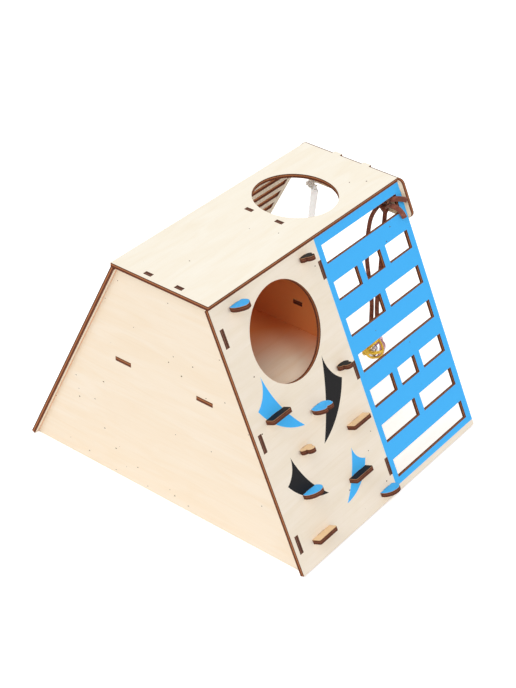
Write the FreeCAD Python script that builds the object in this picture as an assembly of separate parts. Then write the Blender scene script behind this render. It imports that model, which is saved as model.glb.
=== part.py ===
import FreeCAD, Part
import math
import os

# All sizes are in millimetres. X runs along the house, Y from its front to its back, Z up.

# Sheet and fits
ply = 3.0
slot_play = 0.15
shelf_play = 0.5
swing_gap = 0.3
eye_drop = 0.2
rest_gap = 0.02

# Overall sizes
house_length = 200.0
roof_depth = 76.6
slope_length = 183.0
lean = math.radians(25.3)

# End wall, partition and the joints that lock them to the sloping panels and the roof
end_inset = 3.5
chamber_length = 96.1
side_tab_length = 12.3
side_tab_bottom = 20.0
side_tab_top = 20.7
side_tab_count = 3
roof_tab_length = 5.5
roof_tab_centre = 12.1
doorway_width = 56.0
doorway_height = 74.0
peg_slot_length = 7.2
peg_slot_height = 3.5
peg_slot_centre = 30.2
peg_slot_above_shelf = 17.8

# Shelf
shelf_underside = 94.0
shelf_tab_length = 12.6
shelf_tab_centre = 33.2

# Round holes
front_hole_radius = 32.4
front_hole_below_top = 40.2
front_hole_from_partition = 47.1
roof_hole_radius = 28.5
roof_hole_margin = 3.4

# Lattice in the right half of the front panel
window_height = 13.0
window_post = 6.0
middle_window = 20.1
lattice_left_margin = 4.8
lattice_right_margin = 5.6
lattice_top_margin = 6.5
lattice_bottom_margin = 8.5
windows_in_row = (1, 3, 2, 1, 3, 2, 1)

# Ladder in the right half of the back panel
rung_slot_height = 6.5
rung_slot_count = 13
ladder_top_margin = 14.3
ladder_bottom_margin = 7.1

# Header plate across the top of the open right end
plate_rim = 3.3
plate_height = 26.2
plate_corner = 4.0
header_tab_length = 6.2
header_tab_centre = 11.9
plate_tab_height = 3.0
plate_tab_below_top = 7.0
hanging_hole_radius = 2.5
hanging_hole_centre = 29.0
hanging_hole_above_edge = 9.0
turn_in_hole = 0.7

# Climbing holds
bar_length = 18.3
bar_reach = 6.5
bar_corner = 1.0
bar_tab = 7.0
oval_tab = 6.0
cloud_tab = 4.0
cloud_lobe = 2.8

# Each front hold: name, form, place along the front from the end wall, share of the climb to the hole
front_holds = (
    ("middle_black_bar", "bar", 16.4, 0.929),
    ("middle_black_cloud", "cloud", 85.3, 0.925),
    ("middle_blue_kidney", "kidney", 52.4, 0.808),
    ("lower_plain_cloud", "cloud", 29.8, 0.649),
    ("lower_plain_bar", "bar", 81.8, 0.577),
    ("lower_blue_oval", "low_oval", 22.3, 0.413),
    ("lower_black_bar", "bar", 68.0, 0.294),
    ("bottom_plain_bar", "bar", 19.6, 0.147),
    ("bottom_blue_oval", "low_oval", 88.8, 0.079),
)
top_holds = (
    ("top_blue_oval", "tall_oval", 16.0, 5.5),
    ("top_dark_cloud", "cloud", 84.7, 5.2),
)

# Back bars, as places along the back from the end wall, top one first
back_bar_places = (88.0, 48.0, 18.0, 60.0, 24.0)
back_bar_below_top = 11.0
back_bar_above_foot = 35.0

# Bell lace, a flat suede lace
lace_width = 3.0
lace_thick = 1.5
lace_x_inside_plate = 3.0
knot_width = 11.0
knot_height = 11.0
knot_depth = 5.5
knot_side = -31.5
knot_round = 2.4
strand_left = -24.4
strand_right = -33.2
hitch_side = -hanging_hole_centre

# Toy ball
ball_radius = 9.5
ball_wall = 1.2
ball_rim = 0.5
ball_rim_width = 1.1
ball_side = -30.5
ball_rib_width = 2.2
ball_rib_rings = 3
hub_radius = 3.2
hub_hole = 1.6
hub_sink = 0.05
eye_radius = 3.4
eye_wire = 0.8
lace_below_eye = 1.2
lace_beside_eye = 0.9
hanging_drop = 98.1
bell_radius = 4.5
bell_wall = 0.6
bell_slot = 1.0
bell_bands = 8
pea_radius = 1.4

# Ribbon
ribbon_width = 6.0
ribbon_thick = 0.6
ribbon_length = 92.0
ribbon_side = 26.0
ribbon_lean = 3.0
ribbon_bow = 3.0
ribbon_knot_width = 9.5
ribbon_knot_height = 6.0
ribbon_knot_top = 2.0
ribbon_loop_width = 3.4
end_knot_size = 5.0
end_knot_round = 1.6

# Worked out from the sizes above
sin_lean = math.sin(lean)
cos_lean = math.cos(lean)
tan_lean = math.tan(lean)
foot_z = ply * sin_lean
foot_y = roof_depth / 2 + slope_length * sin_lean
roof_under = foot_z + slope_length * cos_lean
roof_top = roof_under + ply
left_end = -house_length / 2
right_end = house_length / 2
end_wall_x = left_end + end_inset
chamber_left = end_wall_x + ply
partition_x = chamber_left + chamber_length
partition_right = partition_x + ply
shelf_top = shelf_underside + ply
climb_height = slope_length - front_hole_below_top - front_hole_radius
plate_bottom = roof_under + ply / 2 - plate_height
hole_z = plate_bottom + hanging_hole_above_edge
lace_x = right_end - lace_x_inside_plate
knot_bottom = plate_bottom + swing_gap
ball_z = knot_bottom - hanging_drop - eye_radius - ball_radius - eye_drop


def vec(x, y, z):
    return FreeCAD.Vector(x, y, z)


def box(x0, x1, y0, y1, z0, z1):
    return Part.makeBox(x1 - x0, y1 - y0, z1 - z0, vec(x0, y0, z0))


# Half the clear depth between the two sloping panels at height z.
def inner_half_depth(z):
    return foot_y - ply * cos_lean - z * tan_lean


# A plate from corner points in order, pushed along a vector.
def polygon_plate(points, push):
    wire = Part.makePolygon(points + [points[0]])
    return Part.Face(wire).extrude(push)


# Lays a shape drawn flat onto the front slope: X along, Y up the slope, Z outward.
def on_front(shape):
    placed = shape.copy()
    placed.rotate(vec(0, 0, 0), vec(1, 0, 0), 90 - math.degrees(lean))
    placed.translate(vec(0, -foot_y, foot_z))
    return placed


def on_back(shape):
    return on_front(shape).mirror(vec(0, 0, 0), vec(0, 1, 0))


# Joints shared by the walls and the panels

def side_tab_centres():
    step = (slope_length - side_tab_bottom - side_tab_top) / (side_tab_count - 1)
    return [side_tab_bottom + step * k for k in range(side_tab_count)]


# Tabs of a wall, drawn flat on the slope, flush with the panel's outer face.
def side_tabs(wall_x):
    half = side_tab_length / 2
    return [box(wall_x, wall_x + ply, s - half, s + half, -ply, 0) for s in side_tab_centres()]


def side_slots(wall_x):
    half = side_tab_length / 2 + slot_play
    left = wall_x - slot_play
    right = wall_x + ply + slot_play
    return [box(left, right, s - half, s + half, -2 * ply, ply) for s in side_tab_centres()]


def roof_tabs(wall_x):
    half = roof_tab_length / 2
    tabs = []
    for side in (-1, 1):
        centre = side * roof_tab_centre
        tabs.append(box(wall_x, wall_x + ply, centre - half, centre + half, roof_under, roof_top))
    return tabs


def roof_slots(wall_x):
    half = roof_tab_length / 2 + slot_play
    left = wall_x - slot_play
    right = wall_x + ply + slot_play
    slots = []
    for side in (-1, 1):
        centre = side * roof_tab_centre
        slots.append(box(left, right, centre - half, centre + half, roof_under - ply, roof_top + ply))
    return slots


def shelf_tabs(wall_x, play):
    half = shelf_tab_length / 2 + play
    low = shelf_underside - play
    high = shelf_top + play
    reach = ply if play else 0
    tabs = []
    for side in (-1, 1):
        centre = side * shelf_tab_centre
        tabs.append(box(wall_x - reach, wall_x + ply + reach, centre - half, centre + half, low, high))
    return tabs


# Walls, shelf and roof

# A trapezoid that fills the section of the house, with its tabs and shelf slots.
def wall(wall_x):
    corners = [
        vec(wall_x, -inner_half_depth(0), 0),
        vec(wall_x, inner_half_depth(0), 0),
        vec(wall_x, inner_half_depth(roof_under), roof_under),
        vec(wall_x, -inner_half_depth(roof_under), roof_under),
    ]
    plate = polygon_plate(corners, vec(ply, 0, 0))
    tabs = roof_tabs(wall_x)
    for tab in side_tabs(wall_x):
        tabs.append(on_front(tab))
        tabs.append(on_back(tab))
    return plate.fuse(tabs).removeSplitter().cut(shelf_tabs(wall_x, slot_play))


def left_end_panel():
    return wall(end_wall_x)


def partition():
    doorway_side = doorway_width / 2
    arch_z = doorway_height - doorway_side
    left = partition_x - ply
    right = partition_right + ply
    doorway = box(left, right, -doorway_side, doorway_side, -ply, arch_z)
    arch = Part.makeCylinder(doorway_side, right - left, vec(left, 0, arch_z), vec(1, 0, 0))
    peg_z = shelf_top + peg_slot_above_shelf
    peg_left = -peg_slot_centre - peg_slot_length / 2
    peg_slot = box(left, right, peg_left, peg_left + peg_slot_length, peg_z, peg_z + peg_slot_height)
    return wall(partition_x).cut([doorway, arch, peg_slot])


def shelf():
    half_depth = inner_half_depth(shelf_top) - shelf_play
    plate = box(chamber_left, partition_x, -half_depth, half_depth, shelf_underside, shelf_top)
    tabs = shelf_tabs(end_wall_x, 0) + shelf_tabs(partition_x, 0)
    return plate.fuse(tabs).removeSplitter()


def roof_panel():
    plate = box(left_end, right_end, -roof_depth / 2, roof_depth / 2, roof_under, roof_top)
    half = header_tab_length / 2
    tabs = []
    for side in (-1, 1):
        centre = side * header_tab_centre
        tabs.append(box(right_end, right_end + ply, centre - half, centre + half, roof_under, roof_top))
    hole_x = partition_right + roof_hole_margin + roof_hole_radius
    hole = Part.makeCylinder(roof_hole_radius, 3 * ply, vec(hole_x, 0, roof_under - ply))
    cuts = [hole] + roof_slots(end_wall_x) + roof_slots(partition_x)
    return plate.fuse(tabs).removeSplitter().cut(cuts)


# Sloping panels, drawn flat and then laid on their slopes

def panel_blank():
    plate = box(left_end, right_end, 0, slope_length, -ply, 0)
    low = slope_length - plate_tab_below_top - plate_tab_height
    tab = box(right_end, right_end + ply, low, low + plate_tab_height, -ply, 0)
    return plate.fuse(tab).removeSplitter()


# Left and right ends of the windows in one lattice row.
def window_spans(count):
    left = partition_right + lattice_left_margin
    right = right_end - lattice_right_margin
    if count == 1:
        return [(left, right)]
    if count == 2:
        side = (right - left - window_post) / 2
        return [(left, left + side), (right - side, right)]
    side = (right - left - 2 * window_post - middle_window) / 2
    middle = left + side + window_post
    return [(left, left + side), (middle, middle + middle_window), (right - side, right)]


def lattice_windows():
    travel = slope_length - lattice_top_margin - lattice_bottom_margin - window_height
    step = travel / (len(windows_in_row) - 1)
    windows = []
    for row, count in enumerate(windows_in_row):
        top = slope_length - lattice_top_margin - step * row
        for left, right in window_spans(count):
            windows.append(box(left, right, top - window_height, top, -2 * ply, ply))
    return windows


def ladder_slots():
    travel = slope_length - ladder_top_margin - ladder_bottom_margin - rung_slot_height
    step = travel / (rung_slot_count - 1)
    left = partition_right + lattice_left_margin
    right = right_end - lattice_right_margin
    slots = []
    for row in range(rung_slot_count):
        top = slope_length - ladder_top_margin - step * row
        slots.append(box(left, right, top - rung_slot_height, top, -2 * ply, ply))
    return slots


def front_panel():
    hole_x = partition_x - front_hole_from_partition
    hole_s = slope_length - front_hole_below_top
    cuts = [Part.makeCylinder(front_hole_radius, 3 * ply, vec(hole_x, hole_s, -2 * ply))]
    cuts += side_slots(end_wall_x) + side_slots(partition_x) + lattice_windows()
    for name, form, x, s in placed_front_holds():
        cuts.append(hold_slot(form, x, s))
    return on_front(panel_blank().cut(cuts))


def back_panel():
    cuts = side_slots(end_wall_x) + side_slots(partition_x) + ladder_slots()
    for x, s in placed_back_bars():
        cuts.append(hold_slot("bar", x, s))
    return on_back(panel_blank().cut(cuts))


# Header plate

# Distance of the plate's sloping edge from the middle at height z.
def edge_at(z):
    return foot_y + foot_z * tan_lean + plate_rim / cos_lean - z * tan_lean


def header_plate():
    top = roof_under + ply / 2
    corners = [
        vec(right_end, -edge_at(plate_bottom), plate_bottom),
        vec(right_end, edge_at(plate_bottom), plate_bottom),
        vec(right_end, edge_at(top), top),
        vec(right_end, -edge_at(top), top),
    ]
    plate = polygon_plate(corners, vec(ply, 0, 0))
    corner_edges = [edge for edge in plate.Edges if edge.Length < ply + 0.01]
    plate = plate.makeFillet(plate_corner, corner_edges)
    cuts = []
    half = header_tab_length / 2 + slot_play
    low = slope_length - plate_tab_below_top - plate_tab_height - slot_play
    high = slope_length - plate_tab_below_top + slot_play
    tab_slot = box(right_end - ply, right_end + 2 * ply, low, high, -ply - slot_play, slot_play)
    cuts += [on_front(tab_slot), on_back(tab_slot)]
    for side in (-1, 1):
        centre = side * header_tab_centre
        left, right = right_end - ply, right_end + 2 * ply
        cuts.append(box(left, right, centre - half, centre + half, roof_under, roof_top))
        hole_at = vec(right_end - ply, side * hanging_hole_centre, hole_z)
        cuts.append(Part.makeCylinder(hanging_hole_radius, 3 * ply, hole_at, vec(1, 0, 0)))
    return plate.cut(cuts)


# Climbing holds: outlines lie in the X and Z of the flat panel, Z outward

def placed_front_holds():
    holds = []
    for name, form, along, share in front_holds:
        holds.append((name, form, chamber_left + along, climb_height * share))
    for name, form, along, below_top in top_holds:
        holds.append((name, form, chamber_left + along, slope_length - below_top))
    return holds


def placed_back_bars():
    count = len(back_bar_places)
    step = (slope_length - back_bar_below_top - back_bar_above_foot) / (count - 1)
    bars = []
    for row, along in enumerate(back_bar_places):
        bars.append((chamber_left + along, slope_length - back_bar_below_top - step * row))
    return bars


def hold_tab_width(form):
    if form == "bar":
        return bar_tab
    if form == "cloud":
        return cloud_tab
    return oval_tab


def hold_slot(form, x, s):
    half = hold_tab_width(form) / 2 + slot_play
    return box(x - half, x + half, s - ply - slot_play, s + slot_play, -2 * ply, ply)


# A closed face: arcs through a middle and an end point each, then a straight line home.
def arc_outline(start, arcs):
    edges = []
    here = vec(start[0], 0, start[1])
    for middle, end in arcs:
        there = vec(end[0], 0, end[1])
        edges.append(Part.Arc(here, vec(middle[0], 0, middle[1]), there).toShape())
        here = there
    edges.append(Part.makeLine(here, vec(start[0], 0, start[1])))
    return Part.Face(Part.Wire(edges))


def oval_face(form):
    if form == "tall_oval":
        return arc_outline((-5.4, 0), [((-6.5, 6.4), (-2.6, 12.2)), ((3.9, 9.0), (6.3, 0))])
    if form == "low_oval":
        return arc_outline((-6.6, 0), [((-5.0, 6.9), (1.2, 9.3)), ((6.3, 6.2), (6.6, 0))])
    left_lobe = [((-7.3, 5.6), (-5.4, 10.2)), ((-2.9, 11.2), (-0.4, 9.5))]
    right_lobe = [((3.0, 11.1), (6.2, 8.2)), ((7.2, 4.0), (5.2, 0))]
    return arc_outline((-4.8, 0), left_lobe + right_lobe)


def bar_blank():
    half = bar_length / 2
    blank = box(-half, half, -ply, 0, 0, bar_reach)
    corners = []
    for edge in blank.Edges:
        upright = abs(edge.Vertexes[0].Y - edge.Vertexes[1].Y) > ply / 2
        if upright and edge.CenterOfMass.z > bar_reach / 2:
            corners.append(edge)
    return blank.makeFillet(bar_corner, corners)


def cloud_blank():
    side = 0.7 * cloud_lobe
    lobes = [(-side, 0.8 * cloud_lobe), (side, 0.9 * cloud_lobe), (0, 2.25 * cloud_lobe)]
    discs = []
    for x, reach in lobes:
        discs.append(Part.makeCylinder(cloud_lobe, ply, vec(x, -ply, reach), vec(0, 1, 0)))
    blank = discs[0].fuse(discs[1:]).removeSplitter()
    behind = box(-3 * cloud_lobe, 3 * cloud_lobe, -2 * ply, ply, -3 * cloud_lobe, 0)
    return blank.cut(behind)


def hold_blank(form):
    if form == "bar":
        return bar_blank()
    if form == "cloud":
        return cloud_blank()
    return oval_face(form).extrude(vec(0, -ply, 0))


def hold(form, x, s):
    half = hold_tab_width(form) / 2
    tab = box(-half, half, -ply, 0, -ply, 0)
    piece = hold_blank(form).fuse(tab).removeSplitter()
    piece.translate(vec(x, s, 0))
    return piece


# Laces and ribbon

# 0.45 of the shorter run, divided by the tangent of half the turn.
def bend_radius(before, here, after):
    run = min((here - before).Length, (after - here).Length)
    turn = (here - before).getAngle(after - here)
    return 0.45 * run / math.tan(turn / 2)


# Straight runs joined by tangent arcs, through points chosen by hand.
def route_wire(name, points):
    edges = []
    radii = []
    start = points[0]
    for k in range(1, len(points) - 1):
        before = points[k - 1]
        here = points[k]
        after = points[k + 1]
        into = (here - before).normalize()
        out = (after - here).normalize()
        turn = into.getAngle(out)
        radius = bend_radius(before, here, after)
        trim = radius * math.tan(turn / 2)
        arc_start = here - into * trim
        arc_end = here + out * trim
        bisector = (out - into).normalize()
        centre = here + bisector * (radius / math.cos(turn / 2))
        arc_middle = centre - bisector * radius
        edges.append(Part.LineSegment(start, arc_start).toShape())
        edges.append(Part.Arc(arc_start, arc_middle, arc_end).toShape())
        radii.append(round(radius, 1))
        start = arc_end
    edges.append(Part.LineSegment(start, points[-1]).toShape())
    print(name, "bend radii", radii)
    return Part.Wire(edges)


# A flat strip along a route, its width along the vector across at the start.
def flat_sweep(name, points, width, thick, across):
    wire = route_wire(name, points)
    along = (points[1] - points[0]).normalize()
    normal = along.cross(across).normalize()
    across = normal.cross(along)
    corner_a = points[0] + across * (width / 2) + normal * (thick / 2)
    corner_b = points[0] - across * (width / 2) + normal * (thick / 2)
    corner_c = points[0] - across * (width / 2) - normal * (thick / 2)
    corner_d = points[0] + across * (width / 2) - normal * (thick / 2)
    profile = Part.makePolygon([corner_a, corner_b, corner_c, corner_d, corner_a])
    strip = wire.makePipeShell([profile], True, False)
    expected = width * thick * wire.Length
    print(name, "length", round(wire.Length, 1))
    print(name, "volume", round(strip.Volume, 2), "expected", round(expected, 2))
    return strip


# A block rounded along the house's depth.
def rounded_block(x0, x1, y0, y1, z0, z1, radius):
    block = box(x0, x1, y0, y1, z0, z1)
    long_edges = [edge for edge in block.Edges if abs(edge.Vertexes[0].Y - edge.Vertexes[1].Y) > radius]
    return block.makeFillet(radius, long_edges)


# The turn of a lace through a hanging hole and round the lower edge of the header plate.
def plate_turn(side, width, thick):
    lower = hole_z - hanging_hole_radius + turn_in_hole
    outer = box(right_end - thick, right_end + ply + thick, side - width / 2, side + width / 2,
                plate_bottom - thick, lower + thick)
    inner = box(right_end, right_end + ply, side - width, side + width, plate_bottom, lower)
    return outer.cut(inner)


def lace_point(side, z):
    return vec(lace_x, side, z)


def bell_lace():
    eye_top = ball_z + ball_radius + 2 * eye_radius
    under = eye_top - eye_wire - lace_below_eye - lace_thick / 2
    top = knot_bottom - lace_width / 2
    beside = lace_thick / 2 + eye_wire + lace_beside_eye
    right = ball_side - beside
    left = ball_side + beside
    points = [
        lace_point(strand_right, top),
        lace_point(strand_right + 1.2, top - 20),
        lace_point(strand_right + 0.8, top - 40),
        lace_point(strand_right + 1.4, top - 58),
        lace_point(strand_right + 1.9, under + 24),
        lace_point(right + 0.2, under + 9),
        lace_point(right, under),
        lace_point(left, under),
        lace_point(left + 0.3, under + 9),
        lace_point(strand_left - 1.4, under + 23),
        lace_point(strand_left + 2.8, top - 57),
        lace_point(strand_left + 5.0, top - 38),
        lace_point(strand_left + 3.2, top - 18),
        lace_point(strand_left, top),
    ]
    return flat_sweep("bell_lace", points, lace_width, lace_thick, vec(1, 0, 0))


def lace_knot():
    back = right_end - swing_gap
    left = knot_side - knot_width / 2
    right = knot_side + knot_width / 2
    top = knot_bottom + knot_height
    block = rounded_block(back - knot_depth, back, left, right, knot_bottom, top, knot_round)
    shoulder_points = [
        lace_point(knot_side + knot_width / 2 - 1.5, knot_bottom + 4.5),
        lace_point(strand_left + 0.2, knot_bottom + 4.0),
        lace_point(strand_left, knot_bottom),
    ]
    shoulder = flat_sweep("lace_shoulder", shoulder_points, lace_width, lace_thick, vec(1, 0, 0))
    turn = plate_turn(hitch_side, lace_width, lace_thick)
    return block.fuse([shoulder, turn, upper_tail(), lower_tail()]).removeSplitter()


# A point given on the front slope: along, up the slope, and outward from its face.
def panel_point(x, s, outward):
    y = -foot_y + s * sin_lean - outward * cos_lean
    z = foot_z + s * cos_lean + outward * sin_lean
    return vec(x, y, z)


def upper_tail():
    window_top = slope_length - lattice_top_margin
    start = vec(lace_x - 1.0, knot_side - knot_width / 2 + 1.5, knot_bottom + knot_height - 3.0)
    inside = panel_point(right_end - lattice_right_margin - 3.6, window_top - 2.8, -ply - 0.5)
    outside = panel_point(right_end - lattice_right_margin - 0.6, window_top - 3.6, lace_thick)
    end = panel_point(right_end - 0.8, window_top - 6.4, lace_thick + 1.2)
    points = [start, inside, outside, end]
    return flat_sweep("upper_tail", points, lace_width, lace_thick, vec(0, sin_lean, cos_lean))


def lower_tail():
    window_top = slope_length - lattice_top_margin
    start = vec(lace_x - 1.0, knot_side - knot_width / 2 + 1.5, knot_bottom + 4.5)
    inside = panel_point(right_end - lattice_right_margin - 4.4, window_top - 6.9, -ply - 0.5)
    outside = panel_point(right_end - lattice_right_margin - 3.2, window_top - 9.6, lace_thick)
    end = panel_point(right_end - lattice_right_margin - 0.4, window_top - 16.6, lace_thick)
    points = [start, inside, outside, end]
    return flat_sweep("lower_tail", points, lace_width, lace_thick, vec(1, 0, 0))


# A ribbon that hangs in a shallow bow, leaning a little to the back.
def ribbon():
    top = plate_bottom + ribbon_knot_top - ribbon_knot_height - 2.5 * swing_gap
    quarter = ribbon_length / 4
    points = [
        vec(lace_x, ribbon_side, top),
        vec(lace_x - ribbon_bow / 2, ribbon_side, top - quarter),
        vec(lace_x + ribbon_bow / 6, ribbon_side, top - 2 * quarter),
        vec(lace_x + ribbon_bow / 2, ribbon_side, top - 3 * quarter),
        vec(lace_x + ribbon_bow / 2, ribbon_side, top - ribbon_length),
    ]
    strip = flat_sweep("ribbon", points, ribbon_width, ribbon_thick, vec(0, 1, 0))
    half = end_knot_size / 2
    end_x = lace_x + ribbon_bow / 2
    low = top - ribbon_length - end_knot_size
    end_knot = rounded_block(end_x - half, end_x + half, ribbon_side - ribbon_width / 2 - 0.5,
                             ribbon_side + ribbon_width / 2 + 0.5, low, top - ribbon_length, end_knot_round)
    for piece in (strip, end_knot):
        piece.rotate(vec(lace_x, ribbon_side, top), vec(1, 0, 0), ribbon_lean)
    return strip, end_knot


def ribbon_knot():
    back = right_end - swing_gap
    top = plate_bottom + ribbon_knot_top
    side = hanging_hole_centre
    left = side - ribbon_knot_width / 2
    right = side + ribbon_knot_width / 2
    bottom = top - ribbon_knot_height
    block = rounded_block(back - knot_depth, back, left, right, bottom, top, end_knot_round)
    turn = plate_turn(side, ribbon_loop_width, ribbon_thick)
    return block.fuse(turn).removeSplitter()


# Toy ball with the small bell inside

def ball_centre():
    return vec(lace_x, ball_side, ball_z)


# A flat ring round an axis, its width centred on the centre.
def ring(centre, axis, outer, inner, width):
    start = centre - axis * (width / 2)
    hoop = Part.makeCylinder(outer, width, start, axis)
    return hoop.cut(Part.makeCylinder(inner, width, start, axis))


def ball_eye():
    centre = ball_centre() + vec(0, 0, ball_radius + eye_radius)
    return ring(centre, vec(0, 1, 0), eye_radius + eye_wire, eye_radius - eye_wire, 2 * eye_wire)


# The left half of an openwork ball: a rim at its open side, ribs and a hub.
def left_ball_half():
    centre = ball_centre()
    along = vec(1, 0, 0)
    inside = ball_radius - ball_wall
    rim_middle = centre - along * (ball_rim_width / 2)
    parts = [ring(rim_middle, along, ball_radius + ball_rim, inside, ball_rim_width)]
    for k in range(ball_rib_rings):
        turn = math.pi * (k + 0.5) / ball_rib_rings
        rib_axis = vec(0, math.cos(turn), math.sin(turn))
        parts.append(ring(centre, rib_axis, ball_radius, inside, ball_rib_width))
    hub_start = centre - along * (ball_radius - hub_sink)
    parts.append(Part.makeCylinder(hub_radius, ball_wall, hub_start, along))
    reach = 2 * ball_radius
    left_side = box(-reach, 0, -reach, reach, -reach, reach)
    left_side.translate(centre)
    hole = Part.makeCylinder(hub_hole, 2 * reach, centre - along * reach, along)
    return parts[0].fuse(parts[1:]).common(left_side).cut(hole).removeSplitter()


# A small pressed ball, turned from a profile of straight bands.
def banded_ball(centre, radius, bands):
    points = []
    for k in range(bands + 1):
        angle = math.pi * k / bands
        points.append(centre + vec(radius * math.sin(angle), 0, radius * math.cos(angle)))
    face = Part.Face(Part.makePolygon(points + [points[0]]))
    return face.revolve(centre, vec(0, 0, 1), 360)


# A round bell resting in the bottom of the ball, slit across its lower half.
def jingle_bell():
    centre = ball_centre() - vec(0, 0, ball_radius - ball_wall - bell_radius - rest_gap)
    shell = banded_ball(centre, bell_radius, bell_bands)
    shell = shell.cut(banded_ball(centre, bell_radius - bell_wall, bell_bands))
    half = bell_slot / 2
    slit = box(-bell_radius, bell_radius, -half, half, -2 * bell_radius, -bell_radius / 4)
    slit.translate(centre)
    return shell.cut(slit), centre


# Assembly

def build_pieces():
    pieces = {}
    pieces["left_end_panel"] = left_end_panel()
    pieces["partition_panel"] = partition()
    pieces["front_panel"] = front_panel()
    pieces["back_panel"] = back_panel()
    pieces["roof_panel"] = roof_panel()
    pieces["shelf"] = shelf()
    pieces["header_plate"] = header_plate()
    for name, form, x, s in placed_front_holds():
        pieces["hold_" + name] = on_front(hold(form, x, s))
    for number, place in enumerate(placed_back_bars(), 1):
        pieces["back_bar_%d" % number] = on_back(hold("bar", place[0], place[1]))
    return pieces


def build_hanging_pieces():
    hanging = {}
    hanging["bell_lace"] = bell_lace()
    hanging["lace_knot"] = lace_knot()
    eye = ball_eye()
    gold = left_ball_half()
    pink = gold.mirror(ball_centre(), vec(1, 0, 0))
    hanging["ball_half_gold"] = gold.fuse(eye.cut(pink)).removeSplitter()
    hanging["ball_half_pink"] = pink
    bell, bell_centre = jingle_bell()
    hanging["jingle_bell"] = bell
    pea_rest = bell_radius - bell_wall - pea_radius - rest_gap
    hanging["bell_pea"] = banded_ball(bell_centre - vec(0, 0, pea_rest), pea_radius, bell_bands)
    hanging["ribbon_knot"] = ribbon_knot()
    strip, end_knot = ribbon()
    hanging["ribbon"] = strip
    hanging["ribbon_end_knot"] = end_knot
    return hanging


def main():
    os.makedirs("parts", exist_ok=True)
    wood = build_pieces()
    hanging = build_hanging_pieces()
    house = Part.makeCompound(list(wood.values())).optimalBoundingBox(False, False)
    shift = vec(-(house.XMin + house.XMax) / 2, -(house.YMin + house.YMax) / 2, -house.ZMin)
    corners = (house.XMin, house.XMax, house.YMin, house.YMax, house.ZMin, house.ZMax)
    print("house", [round(v, 3) for v in corners])
    print("shift", [round(v, 4) for v in shift])
    for name, shape in list(wood.items()) + list(hanging.items()):
        piece = shape.copy()
        piece.translate(shift)
        piece.exportStep("parts/%s.step" % name)
        print(name, "valid" if piece.isValid() else "NOT VALID", len(piece.Solids), round(piece.Volume, 1))
    eye_top = ball_centre() + vec(0, 0, ball_radius + 2 * eye_radius) + shift
    lace_hinge = vec(lace_x, hitch_side, knot_bottom) + shift
    ribbon_hinge = vec(lace_x, ribbon_side, plate_bottom + ribbon_knot_top - ribbon_knot_height) + shift
    for name, point in (("eye", eye_top), ("lace hinge", lace_hinge), ("ribbon hinge", ribbon_hinge)):
        print(name, [round(v, 3) for v in point])


main()
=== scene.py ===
import math
import bmesh
import bpy
from mathutils import Matrix, Vector


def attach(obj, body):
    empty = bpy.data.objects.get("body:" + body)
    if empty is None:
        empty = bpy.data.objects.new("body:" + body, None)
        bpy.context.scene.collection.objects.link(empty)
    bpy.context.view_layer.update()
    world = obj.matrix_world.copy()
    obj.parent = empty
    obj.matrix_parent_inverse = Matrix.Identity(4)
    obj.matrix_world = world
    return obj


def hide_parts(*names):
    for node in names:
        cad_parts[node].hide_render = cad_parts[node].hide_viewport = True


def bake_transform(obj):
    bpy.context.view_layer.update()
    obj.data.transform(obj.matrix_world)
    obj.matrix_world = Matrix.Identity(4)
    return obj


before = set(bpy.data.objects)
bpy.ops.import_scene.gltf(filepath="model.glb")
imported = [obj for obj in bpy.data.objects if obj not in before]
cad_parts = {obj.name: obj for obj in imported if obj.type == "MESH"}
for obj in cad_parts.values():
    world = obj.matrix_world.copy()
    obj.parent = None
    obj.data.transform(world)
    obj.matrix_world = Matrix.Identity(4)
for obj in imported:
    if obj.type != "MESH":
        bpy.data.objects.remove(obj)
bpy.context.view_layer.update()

mm = 0.001


def linearColour(code):  # an sRGB hex value as linear light
    channels = [int(code[k:k + 2], 16) / 255 for k in (1, 3, 5)]
    return [c / 12.92 if c <= 0.04045 else ((c + 0.055) / 1.055) ** 2.4 for c in channels] + [1.0]


def inMetres(place):
    return Vector([part * mm for part in place])


# Camera, at the photograph's viewing angle

cameraView = {
    "place": (-746.66, -553.70, 726.54),  # mm
    "yaw": 53.289,  # degrees, from the depth axis towards the length
    "pitch": 35.144,  # looking down
    "roll": 1.607,
    "lens": 88.80,
}


def makeCamera():
    yaw, pitch, roll = [math.radians(cameraView[key]) for key in ("yaw", "pitch", "roll")]
    level = math.cos(pitch)
    ahead = Vector((math.sin(yaw) * level, math.cos(yaw) * level, -math.sin(pitch)))
    right = ahead.cross(Vector((0, 0, 1))).normalized()
    up = right.cross(ahead)
    rolledRight = math.cos(roll) * right + math.sin(roll) * up
    rolledUp = math.cos(roll) * up - math.sin(roll) * right
    data = bpy.data.cameras.new("camera")
    data.lens = cameraView["lens"]
    data.sensor_width = 36
    data.clip_end = 20
    camera = bpy.data.objects.new("camera", data)
    turn = Matrix((rolledRight, rolledUp, -ahead)).transposed()
    camera.matrix_world = Matrix.Translation(inMetres(cameraView["place"])) @ turn.to_4x4()
    bpy.context.scene.collection.objects.link(camera)
    bpy.context.scene.camera = camera


makeCamera()
print("camera placed")


# Meshes and materials

def addNode(tree, kind, inputs=None, **settings):
    node = tree.nodes.new("ShaderNode" + kind)
    for name, value in settings.items():
        setattr(node, name, value)
    for socket, value in (inputs or {}).items():
        if isinstance(value, bpy.types.NodeSocket):
            tree.links.new(value, node.inputs[socket])
        else:
            node.inputs[socket].default_value = value
    return node


def newMaterial(name):
    material = bpy.data.materials.new(name)
    material.use_nodes = True
    material.node_tree.nodes.clear()
    return material, material.node_tree


def showShader(tree, shader):
    addNode(tree, "OutputMaterial", {"Surface": shader.outputs[0]})


def calculate(tree, operation, *values):
    return addNode(tree, "Math", dict(enumerate(values)), operation=operation).outputs[0]


def product(tree, *masks):
    total = masks[0]
    for mask in masks[1:]:
        total = calculate(tree, "MULTIPLY", total, mask)
    return total


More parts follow.
